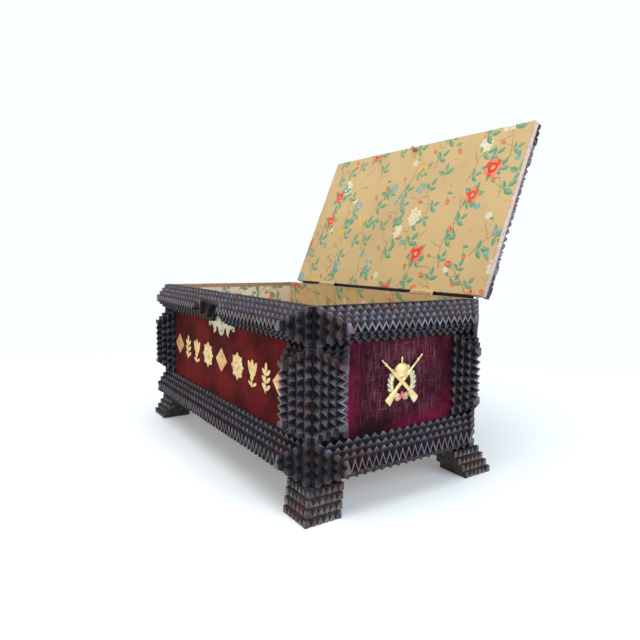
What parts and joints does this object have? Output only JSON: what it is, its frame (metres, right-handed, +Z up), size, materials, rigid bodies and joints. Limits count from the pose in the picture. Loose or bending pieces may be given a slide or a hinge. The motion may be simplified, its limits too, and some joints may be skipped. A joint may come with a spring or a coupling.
{
  "type": "tramp art box",
  "caption": "Lidded wooden box dressed with stepped, edge-notched strips, velvet panels and gilt mounts, on flared feet, with a paper-lined inside, hinged lid and small lock.",
  "frame": {"origin": "on the floor, under the middle of the carcase", "axes": "+X along the front towards its right end, -Y out of the front, +Z up"},
  "size_m": [0.3398, 0.2665, 0.3076],
  "materials": {
    "bare_cedar": "bare sawn cedar, matte",
    "stained_cedar": "dark stained and varnished, worn satin",
    "lining_paper": "aged paper with a printed floral repeat, matte",
    "crimson_velvet": "deep crimson pile velvet",
    "plum_velvet": "plum pile velvet with a worn nap",
    "gilt_metal": "stamped gilt sheet, satin",
    "old_brass": "tarnished brass",
    "dark_iron": "dark iron"
  },
  "bodies": {
    "box": {"bottom_board": "bare_cedar", "front_wall": "bare_cedar", "right_wall": "bare_cedar", "back_wall": "bare_cedar", "left_wall": "bare_cedar", "floor_lining": "lining_paper", "front_lining": "lining_paper", "right_lining": "lining_paper", "back_lining": "lining_paper", "left_lining": "lining_paper", "front_velvet": "crimson_velvet", "right_velvet": "plum_velvet", "back_velvet": "crimson_velvet", "left_velvet": "plum_velvet", "front_top_rail": "stained_cedar", "right_top_rail": "stained_cedar", "back_top_rail": "stained_cedar", "left_top_rail": "stained_cedar", "front_base_rail": "stained_cedar", "right_base_rail": "stained_cedar", "back_base_rail": "stained_cedar", "left_base_rail": "stained_cedar", "front_left_pilaster": "stained_cedar", "front_right_pilaster": "stained_cedar", "right_front_pilaster": "stained_cedar", "right_back_pilaster": "stained_cedar", "back_right_pilaster": "stained_cedar", "back_left_pilaster": "stained_cedar", "left_back_pilaster": "stained_cedar", "left_front_pilaster": "stained_cedar", "front_left_foot": "stained_cedar", "front_right_foot": "stained_cedar", "back_right_foot": "stained_cedar", "back_left_foot": "stained_cedar", "left_hinge_box_leaf": "old_brass", "left_hinge_pin": "old_brass", "right_hinge_box_leaf": "old_brass", "right_hinge_pin": "old_brass", "box_hinge_brads": "dark_iron", "lock_case": "dark_iron", "escutcheon": "gilt_metal", "escutcheon_pins": "old_brass", "gilt_lozenges": "gilt_metal", "gilt_rosettes": "gilt_metal", "gilt_tulips": "gilt_metal", "gilt_sprigs": "gilt_metal", "right_trophy": "gilt_metal", "left_trophy": "gilt_metal"},
    "lid": {"lid_board": "bare_cedar", "lid_lining": "lining_paper", "lid_velvet": "crimson_velvet", "lid_front_border": "stained_cedar", "lid_right_border": "stained_cedar", "lid_back_border": "stained_cedar", "lid_left_border": "stained_cedar", "left_hinge_lid_leaf": "old_brass", "right_hinge_lid_leaf": "old_brass", "lid_hinge_brads": "dark_iron", "lid_staple": "old_brass"},
    "bolt": {"lock_bolt": "old_brass"}
  },
  "joints": [
    {"name": "lid_hinge", "type": "hinge", "parent": "box", "child": "lid", "pos_m": [0, 0.0881, 0.1496], "axis": [1, 0, 0], "range_deg": [0, 112]},
    {"name": "bolt_slide", "type": "slide", "parent": "box", "child": "bolt", "axis": [1, 0, 0], "range_m": [0, 0.005]}
  ]
}
